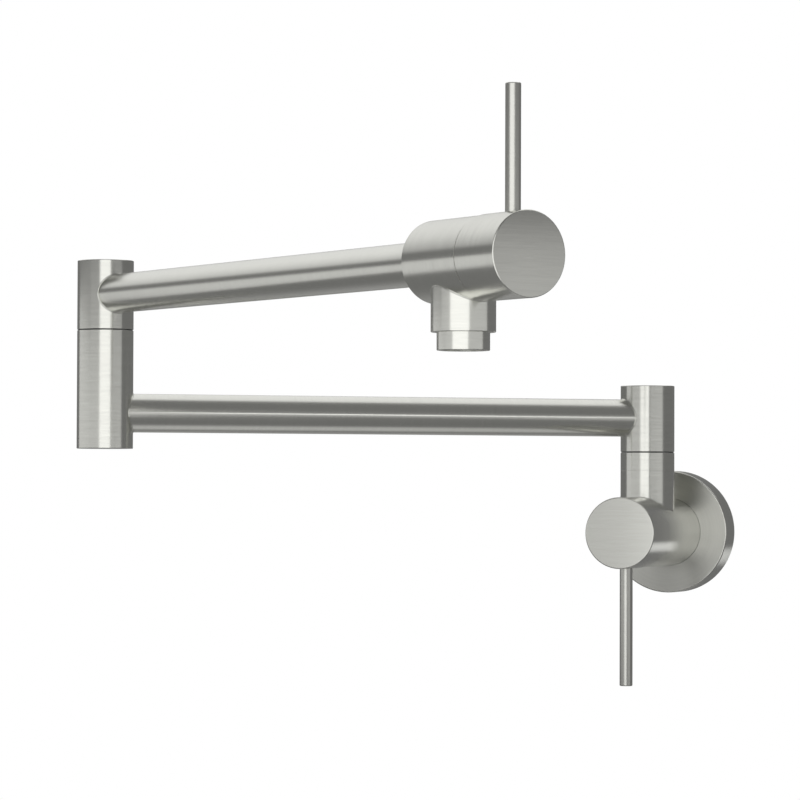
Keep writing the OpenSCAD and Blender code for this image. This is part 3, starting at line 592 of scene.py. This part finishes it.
def brushed_group():
    """Brush lines round the z axis of a piece, or straight along x on a face, with broad soft smudges."""
    tree, source, result = new_group(
        "Brush lines",
        (("Color", "NodeSocketColor", (0.8, 0.8, 0.8, 1)), ("Roughness", "NodeSocketFloat", 0.2),
         ("Pitch", "NodeSocketFloat", 0.0004), ("Contrast", "NodeSocketFloat", 0.1),
         ("Straight", "NodeSocketFloat", 0.0)),
        (("Color", "NodeSocketColor"), ("Roughness", "NodeSocketFloat"), ("Height", "NodeSocketFloat")))
    where = tree.nodes.new("ShaderNodeTexCoord").outputs["Object"]
    parts = tree.nodes.new("ShaderNodeSeparateXYZ")
    tree.links.new(where, parts.inputs[0])
    x, y, z = parts.outputs
    radius = math_node(tree, "SQRT", math_node(tree, "ADD", product(tree, x, x), product(tree, y, y)))
    safe = math_node(tree, "MAXIMUM", radius, AXIS_ROOM)
    fine = math_node(tree, "DIVIDE", 1.0, source.outputs["Pitch"])
    coarse = product(tree, fine, LINE_DRAW)
    turned = combine(tree, product(tree, radius, fine), product(tree, z, fine),
                     product(tree, math_node(tree, "DIVIDE", x, safe), LINE_DRIFT))
    straight = combine(tree, product(tree, x, coarse), product(tree, y, fine), product(tree, z, fine))
    pick = tree.nodes.new("ShaderNodeMix")
    pick.data_type = "VECTOR"
    # Inputs 4 and 5 and output 1 are the node's vectors
    tree.links.new(source.outputs["Straight"], pick.inputs["Factor"])
    tree.links.new(turned, pick.inputs[4])
    tree.links.new(straight, pick.inputs[5])
    lines_at = pick.outputs[1]
    w = product(tree, math_node(tree, "DIVIDE", y, safe), LINE_DRIFT)
    broad_scale, broad_share = BROAD_LINES
    smudge_scale, smudge_change = SMUDGES
    hair = centred(tree, noise(tree, lines_at, 1.0, 3.0, w))
    broad = centred(tree, noise(tree, lines_at, broad_scale, 1.0, w))
    smudge = centred(tree, noise(tree, where, smudge_scale, 2.0))
    lines = math_node(tree, "ADD", hair, product(tree, broad, broad_share))
    change = product(tree, lines, source.outputs["Contrast"])
    light = math_node(tree, "ADD", 1.0, change)
    tree.links.new(scaled(tree, source.outputs["Color"], light), result.inputs["Color"])
    rough = math_node(tree, "ADD", source.outputs["Roughness"], product(tree, change, LINE_GLOSS))
    rough = math_node(tree, "ADD", rough, product(tree, smudge, smudge_change))
    tree.links.new(rough, result.inputs["Roughness"])
    tree.links.new(lines, result.inputs["Height"])
    return tree


def grain_group():
    """Fine grain of cast, moulded or plated parts."""
    tree, source, result = new_group(
        "Fine grain",
        (("Color", "NodeSocketColor", (0.5, 0.5, 0.5, 1)), ("Roughness", "NodeSocketFloat", 0.4),
         ("Size", "NodeSocketFloat", 0.0004), ("Contrast", "NodeSocketFloat", 0.1)),
        (("Color", "NodeSocketColor"), ("Roughness", "NodeSocketFloat"), ("Height", "NodeSocketFloat")))
    where = tree.nodes.new("ShaderNodeTexCoord").outputs["Object"]
    fine = math_node(tree, "DIVIDE", 1.0, source.outputs["Size"])
    grain = centred(tree, noise(tree, scaled(tree, where, fine), 1.0, 3.0))
    cloud = centred(tree, noise(tree, where, CLOUD_SCALE, 2.0))
    change = product(tree, math_node(tree, "ADD", grain, cloud), source.outputs["Contrast"])
    light = math_node(tree, "ADD", 1.0, change)
    tree.links.new(scaled(tree, source.outputs["Color"], light), result.inputs["Color"])
    rough = math_node(tree, "ADD", source.outputs["Roughness"], product(tree, change, GRAIN_GLOSS))
    tree.links.new(rough, result.inputs["Roughness"])
    tree.links.new(grain, result.inputs["Height"])
    return tree


def surface(name, group, color, metallic, depth, values):
    """Material that takes colour, roughness and height from a shared group."""
    material = bpy.data.materials.new(name)
    material.use_nodes = True
    tree = material.node_tree
    shader = tree.nodes["Principled BSDF"]
    shader.inputs["Metallic"].default_value = metallic
    effect = tree.nodes.new("ShaderNodeGroup")
    effect.node_tree = group
    effect.inputs["Color"].default_value = (*color, 1)
    for label, value in values.items():
        effect.inputs[label].default_value = value
    bump = tree.nodes.new("ShaderNodeBump")
    bump.inputs["Distance"].default_value = depth
    tree.links.new(effect.outputs["Color"], shader.inputs["Base Color"])
    tree.links.new(effect.outputs["Roughness"], shader.inputs["Roughness"])
    tree.links.new(effect.outputs["Height"], bump.inputs["Height"])
    tree.links.new(bump.outputs["Normal"], shader.inputs["Normal"])
    return material, shader


def brushed(name):
    """Brushed metal of one of the finishes, made once and then shared."""
    if name in bpy.data.materials:
        return bpy.data.materials[name]
    finish = bpy.context.scene.pot_filler_finish
    straight, rougher, stretch, contrast, painted_light_share, pitch, depth = FINISHES[name]
    group = bpy.data.node_groups.get("Brush lines") or brushed_group()
    values = {"Roughness": finish.roughness * rougher, "Pitch": finish.brush_pitch * pitch,
              "Contrast": finish.brush_contrast * contrast, "Straight": straight}
    # Painted light and shade: the metal's colour is scaled lighter or darker for this finish's pieces
    color = Vector(finish.metal) * painted_light_share
    material, shader = surface(name, group, color, 1.0, finish.brush_depth * depth, values)
    shader.inputs["Anisotropic"].default_value = finish.anisotropy * stretch
    shader.inputs["Anisotropic Rotation"].default_value = BRUSH_TURN
    return material


def grained(name, color, metallic, roughness, size, depth):
    """Grained surface of an inner part."""
    group = bpy.data.node_groups.get("Fine grain") or grain_group()
    values = {"Roughness": roughness, "Size": size, "Contrast": GRAIN_CONTRAST}
    return surface(name, group, color, metallic, depth, values)[0]


def sleeve_pieces(prefix, node, place, material, sizes, body):
    """Turning sleeve with the cap in its top."""
    edge, seam, gap = sizes.edge_radius / MM, sizes.seam_edge / MM, sizes.gap_edge / MM
    low, high, r = span(node + "_sleeve", place)
    rim, depth = CAP_RECESS
    corners = [(SLEEVE_BORE_R, low, 0), (r, low, gap), (r, high, edge), (rim, high, 0),
               (rim, high - depth, 0), (SLEEVE_BORE_R, high - depth, 0)]
    sleeve = lathe(prefix + "_sleeve", corners, place, material)
    settle(sleeve, body, "satin_steel", node + "_sleeve")
    low, high, r = span(node + "_cap", place)
    cap = lathe(prefix + "_cap", [(0, low, 0), (r, low, 0), (r, high, seam), (0, high, 0)], place, material)
    settle(cap, body, "satin_steel", node + "_cap")


def arm_tube(end, place, body):
    """Straight tube of one arm. Gives its outer radius."""
    low, high, r = span(end + "_tube", place)
    corners = [(r - TUBE_WALL, low, 0), (r, low, 0), (r, high, 0), (r - TUBE_WALL, high, 0)]
    tube = lathe(end.capitalize() + "_tube", corners, place, brushed("Satin_tube"))
    settle(tube, body, "satin_steel", end + "_tube")
    return r


class POTFILLER_OT_wall_valve(bpy.types.Operator):
    """Builds the flange, the wall valve's barrel, its post and its collar."""

    bl_idname = "potfiller.wall_valve"
    bl_label = "Wall valve"

    def execute(self, context):
        sizes = context.scene.pot_filler_sizes
        satin = brushed("Satin")
        seam, gap = sizes.seam_edge / MM, sizes.gap_edge / MM
        place = frames()
        low, high, r = span("wall_flange", place["wall"])
        side, face = FLANGE_WALL
        bore = BARREL_R + FLANGE_ROOM
        corners = [(bore, high - face, 0), (bore, high, seam), (r, high, sizes.flange_edge / MM),
                   (r, low, seam), (r - side, low, seam), (r - side, high - face, 0)]
        flange = lathe("Flange", corners[::-1], place["wall"], satin, brushed("Satin_turned"))
        settle(flange, "wall_body", "satin_steel", "wall_flange")
        low = span("valve_body", place["wall"])[0]
        corners = barrel_corners(REAR_SOCKET[0], low, REAR_SOCKET[1], -SEAM_Y, seam, seam)
        barrel = lathe("Wall_barrel", corners, place["wall"], satin)
        settle(barrel, "wall_body", "satin_steel", "valve_body")
        low, high, r = span("post_collar", place["post"])
        bore = SPIGOT_SOCKET[0]
        corners = [(bore, POST_LOW, 0), (r, POST_LOW, 0), (r, low, seam), (bore, low, 0)]
        post = lathe("Post", corners, place["post"], satin)
        settle(post, "wall_body", "satin_steel", "valve_body")
        corners = [(bore, low, 0), (r, low, seam), (r, high, gap), (bore, high, 0)]
        collar = lathe("Post_collar", corners, place["post"], satin)
        settle(collar, "wall_body", "satin_steel", "post_collar")
        bead = seam_bead("Post_bead", r, BARREL_R, place["post"], 1, satin)
        settle(bead, "wall_body", "satin_steel")
        return {"FINISHED"}


class POTFILLER_OT_handles(bpy.types.Operator):
    """Builds both knobs with their lever rods."""

    bl_idname = "potfiller.handles"
    bl_label = "Knobs and levers"

    def execute(self, context):
        sizes = context.scene.pot_filler_sizes
        face = brushed("Satin_face")
        seam = sizes.seam_edge / MM
        place = frames()
        for end, side in (("wall", brushed("Satin")), ("spout", brushed("Satin_barrel"))):
            body = end + "_handle"
            here = place[end + "_seam"]
            low, high, r = span(end + "_knob", here)
            hollow_r, hollow = KNOB_HOLLOW
            stem_r, stem = STEM_SOCKET
            inner = [(0, stem, 0), (stem_r, stem, 0), (stem_r, hollow, 0), (hollow_r, hollow, 0)]
            corners = [(hollow_r, low, 0), (r, low, seam), (r, high, sizes.knob_edge / MM), (0, high, 0)]
            knob = lathe(end.capitalize() + "_knob", inner + corners, here, side, face)
            settle(knob, body, "satin_steel", end + "_knob")
            here = place[end + "_lever"]
            low, high, r = span(end + "_lever", here)
            corners = [(0, low, 0), (r, low, seam), (r, high, sizes.lever_edge / MM), (0, high, 0)]
            lever = lathe(end.capitalize() + "_lever", corners, here, brushed("Satin_rod"))
            settle(lever, body, "satin_steel", end + "_lever")
        return {"FINISHED"}


class POTFILLER_OT_lower_arm(bpy.types.Operator):
    """Builds the hub, the lower tube and the elbow column."""

    bl_idname = "potfiller.lower_arm"
    bl_label = "Lower arm"

    def execute(self, context):
        sizes = context.scene.pot_filler_sizes
        satin = brushed("Satin")
        edge, seam, gap = sizes.edge_radius / MM, sizes.seam_edge / MM, sizes.gap_edge / MM
        place = frames()
        sleeve_pieces("Hub", "hub", place["post"], satin, sizes, "lower_arm")
        r = arm_tube("lower", place["lower"], "lower_arm")
        low, high, column_r = span("elbow_column", place["elbow"])
        socket, depth = SPIGOT_SOCKET
        recess, recess_h = FOOT_RECESS
        corners = [(recess, low, 0), (column_r, low, edge), (column_r, high, gap), (socket, high, 0),
                   (socket, high - depth, 0), (COLUMN_BORE_R, high - depth, 0),
                   (COLUMN_BORE_R, low + recess_h, 0), (recess, low + recess_h, 0)]
        column = lathe("Elbow_column", corners, place["elbow"], satin)
        settle(column, "lower_arm", "satin_steel", "elbow_column")
        low, high, foot_r = span("elbow_foot", place["elbow"])
        corners = [(0, low, 0), (foot_r, low, seam), (foot_r, high, 0), (0, high, 0)]
        foot = lathe("Elbow_foot", corners, place["elbow"], satin)
        settle(foot, "lower_arm", "satin_steel", "elbow_foot")
        reach = high_of("lower_tube", place["lower"]) + TUBE_TO_AXIS
        far = place["lower"] @ Matrix.Translation((0, 0, reach * MM))
        near = seam_bead("Hub_bead", r, column_r, place["lower"], 1, satin)
        settle(near, "lower_arm", "satin_steel")
        end = seam_bead("Column_bead", r, column_r, far, -1, satin)
        settle(end, "lower_arm", "satin_steel")
        return {"FINISHED"}


class POTFILLER_OT_upper_arm(bpy.types.Operator):
    """Builds the elbow sleeve, the upper tube and the spout with its aerator."""

    bl_idname = "potfiller.upper_arm"
    bl_label = "Upper arm and spout"

    def execute(self, context):
        sizes = context.scene.pot_filler_sizes
        satin = brushed("Satin")
        edge, seam = sizes.edge_radius / MM, sizes.seam_edge / MM
        place = frames()
        sleeve_pieces("Elbow", "elbow", place["elbow"], satin, sizes, "upper_arm")
        r = arm_tube("upper", place["upper"], "upper_arm")
        column_r = span("elbow_sleeve", place["elbow"])[2]
        bead = seam_bead("Sleeve_bead", r, column_r, place["upper"], 1, satin)
        settle(bead, "upper_arm", "satin_steel")
        here = place["spout_seam"]
        socket, depth = TUBE_SOCKET
        low = high_of("upper_tube", here) - depth
        corners = barrel_corners(socket, low, low + depth, 0, edge, seam)
        barrel = lathe("Spout_barrel", corners, here, brushed("Satin_barrel"))
        settle(barrel, "upper_arm", "satin_steel", "spout_body")
        here = place["outlet"]
        mouth = span("spout_body", here)[0]
        socket, depth = OUTLET_SOCKET
        corners = [(socket, mouth, 0), (OUTLET_R, mouth, edge), (OUTLET_R, NECK_TOP, 0),
                   (PORT_R, NECK_TOP, 0), (PORT_R, mouth + depth, 0), (socket, mouth + depth, 0)]
        neck = lathe("Outlet_neck", corners, here, brushed("Satin_outlet"))
        settle(neck, "upper_arm", "satin_steel", "spout_body")
        across = turn_frame((0, 0, 0), (0, 0, -1), place["upper"].col[2].xyz)
        across.translation = (here @ Matrix.Translation((0, 0, UPPER_Z * MM))).translation
        bead = seam_bead("Outlet_bead", OUTLET_R, BARREL_R, across, 1, satin)
        settle(bead, "upper_arm", "satin_steel")
        low = span("aerator_housing", here)[0]
        lip, lip_h = AERATOR_LIP
        corners = [(lip, low, seam), (AERATOR_R, low, edge), (AERATOR_R, mouth, seam),
                   (AERATOR_BORE_R, mouth, 0), (AERATOR_BORE_R, low + lip_h, 0), (lip, low + lip_h, 0)]
        aerator = lathe("Aerator", corners, here, brushed("Satin_outlet"))
        cut_flats(aerator, low)
        settle(aerator, "upper_arm", "satin_steel", "aerator_housing")
        return {"FINISHED"}


class POTFILLER_OT_inner_parts(bpy.types.Operator):
    """Gives every CAD node the material of its kind."""

    bl_idname = "potfiller.inner_parts"
    bl_label = "Inner parts"

    def execute(self, context):
        finish = context.scene.pot_filler_finish
        materials = {}
        for look, (color, metallic, roughness, size, depth) in INNER_LOOKS.items():
            material = grained("Look_" + look, getattr(finish, color), metallic, roughness, size * MM,
                               depth * MM)
            for node in NODES_OF_LOOK[look]:
                materials[node] = material
        for name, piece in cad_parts.items():
            material = materials[name] if name in materials else brushed("Satin")
            piece.data.materials.clear()
            piece.data.materials.append(material)
        return {"FINISHED"}


def light_room(studio):
    """World of the studio: plain white to look at, and a dark room with a lit sweep for reflections."""
    world = bpy.data.worlds.new("Studio")
    bpy.context.scene.world = world
    world.use_nodes = True
    tree = world.node_tree
    tree.nodes.clear()
    where = tree.nodes.new("ShaderNodeTexCoord").outputs["Generated"]
    parts = tree.nodes.new("ShaderNodeSeparateXYZ")
    tree.links.new(where, parts.inputs[0])
    x, y, z = parts.outputs
    down = product(tree, z, -1.0)
    high = math_node(tree, "MAXIMUM", rise(tree, x, *LIFT_X), rise(tree, y, *LIFT_Y))
    lifted = math_node(tree, "SUBTRACT", z, product(tree, high, LIFT))
    sweep = product(tree, rise(tree, y, *SWEEP_Y), rise(tree, lifted, *SWEEP_Z))
    share = product(tree, rise(tree, z, *BRIGHTER_Z), 1 - SWEEP_SHARE)
    share = math_node(tree, "ADD", share, SWEEP_SHARE)
    sweep = product(tree, sweep, share, studio.behind - studio.dark)
    ground = product(tree, rise(tree, y, *GROUND_Y), rise(tree, down, *GROUND_DOWN),
                     studio.ground - studio.dark)
    low = product(tree, rise(tree, y, *LOW_Y), rise(tree, down, *LOW_DOWN), rise(tree, x, *LOW_X),
                  rise(tree, y, *LOW_Y_END), studio.low_sweep)
    toward = tree.nodes.new("ShaderNodeVectorMath")
    toward.operation = "DOT_PRODUCT"
    tree.links.new(where, toward.inputs[0])
    toward.inputs[1].default_value = Vector(GLOW_WAY).normalized()
    glow = product(tree, rise(tree, toward.outputs["Value"], *GLOW_EDGE), studio.glow - studio.dark)
    light = studio.dark
    for part in (sweep, ground, low, glow):
        light = math_node(tree, "ADD", part, light)
    path = tree.nodes.new("ShaderNodeLightPath")
    seen = tree.nodes.new("ShaderNodeMix")
    white = math_node(tree, "MAXIMUM", path.outputs["Is Camera Ray"], path.outputs["Is Transmission Ray"])
    # Input 0 picks between the numbers of inputs 2 and 3
    tree.links.new(white, seen.inputs[0])
    tree.links.new(light, seen.inputs[2])
    seen.inputs[3].default_value = 1.0
    background = tree.nodes.new("ShaderNodeBackground")
    background.inputs["Color"].default_value = (1, 1, 1, 1)
    tree.links.new(seen.outputs[0], background.inputs["Strength"])
    output = tree.nodes.new("ShaderNodeOutputWorld")
    tree.links.new(background.outputs[0], output.inputs["Surface"])


def add_panel(name, start, end, heights, level):
    """Upright softbox between two places on the floor plan. Only reflections see it.

    Its light is added to the room's behind it. Seen from the part, it runs from left to right.
    """
    first = Vector((*start, (heights[0] + heights[1]) / 2))
    last = Vector((*end, first.z))
    along = last - first
    facing = Vector((-along.y, along.x, 0))
    data = bpy.data.lights.new(name, "AREA")
    data.shape = "RECTANGLE"
    data.size = along.length
    data.size_y = heights[1] - heights[0]
    data.energy = level * math.pi * data.size * data.size_y
    lamp = bpy.data.objects.new(name, data)
    bpy.context.scene.collection.objects.link(lamp)
    turn = facing.to_track_quat("-Z", "Y").to_matrix().to_4x4()
    lamp.matrix_world = Matrix.Translation((first + last) / 2) @ turn
    lamp.visible_camera = False


def add_camera(lens):
    """Camera that takes the part as it was photographed."""
    heading, pitch, roll = (math.radians(v) for v in CAMERA_TURN)
    forward = Vector((-math.sin(heading) * math.cos(pitch), math.cos(heading) * math.cos(pitch),
                      math.sin(pitch)))
    right = Vector((math.cos(heading), math.sin(heading), 0))
    down = forward.cross(right)
    side = math.cos(roll) * right + math.sin(roll) * down
    under = -math.sin(roll) * right + math.cos(roll) * down
    data = bpy.data.cameras.new("Camera")
    data.lens = lens
    data.sensor_width = SENSOR_WIDTH
    data.clip_end = CLIP_END
    camera = bpy.data.objects.new("Camera", data)
    bpy.context.scene.collection.objects.link(camera)
    rotation = Matrix((side, -under, -forward)).transposed().to_4x4()
    camera.matrix_world = Matrix.Translation(CAMERA_PLACE) @ rotation
    bpy.context.scene.camera = camera


class POTFILLER_OT_studio(bpy.types.Operator):
    """Sets up the white studio with its softboxes, and the camera."""

    bl_idname = "potfiller.studio"
    bl_label = "Studio"

    def execute(self, context):
        studio = context.scene.pot_filler_studio
        light_room(studio)
        for name, setting, start, end, heights in SOFTBOXES:
            add_panel(name, start, end, heights, getattr(studio, setting) - studio.dark)
        add_camera(studio.lens)
        context.scene.view_settings.view_transform = "Standard"
        return {"FINISHED"}


STEPS = (POTFILLER_OT_wall_valve, POTFILLER_OT_handles, POTFILLER_OT_lower_arm, POTFILLER_OT_upper_arm,
         POTFILLER_OT_inner_parts, POTFILLER_OT_studio)


class POTFILLER_PT_build(bpy.types.Panel):
    """Lists the steps and their settings in the sidebar."""

    bl_idname = "POTFILLER_PT_build"
    bl_label = "Pot Filler"
    bl_space_type = "VIEW_3D"
    bl_region_type = "UI"
    bl_category = "Pot Filler"

    def draw(self, context):
        for step in STEPS:
            self.layout.operator(step.bl_idname)
        for group in ("pot_filler_sizes", "pot_filler_finish", "pot_filler_studio"):
            settings = getattr(context.scene, group)
            for name in settings.__annotations__:
                self.layout.prop(settings, name)


CLASSES = (PotFillerSizes, PotFillerFinish, PotFillerStudio, *STEPS, POTFILLER_PT_build)


def register():
    for cls in CLASSES:
        bpy.utils.register_class(cls)
    bpy.types.Scene.pot_filler_sizes = PointerProperty(type=PotFillerSizes)
    bpy.types.Scene.pot_filler_finish = PointerProperty(type=PotFillerFinish)
    bpy.types.Scene.pot_filler_studio = PointerProperty(type=PotFillerStudio)


def unregister():
    del bpy.types.Scene.pot_filler_studio
    del bpy.types.Scene.pot_filler_finish
    del bpy.types.Scene.pot_filler_sizes
    for cls in reversed(CLASSES):
        bpy.utils.unregister_class(cls)


def main():
    register()
    bpy.ops.potfiller.wall_valve()
    bpy.ops.potfiller.handles()
    bpy.ops.potfiller.lower_arm()
    bpy.ops.potfiller.upper_arm()
    bpy.ops.potfiller.inner_parts()
    bpy.ops.potfiller.studio()


if __name__ == "__main__":
    main()
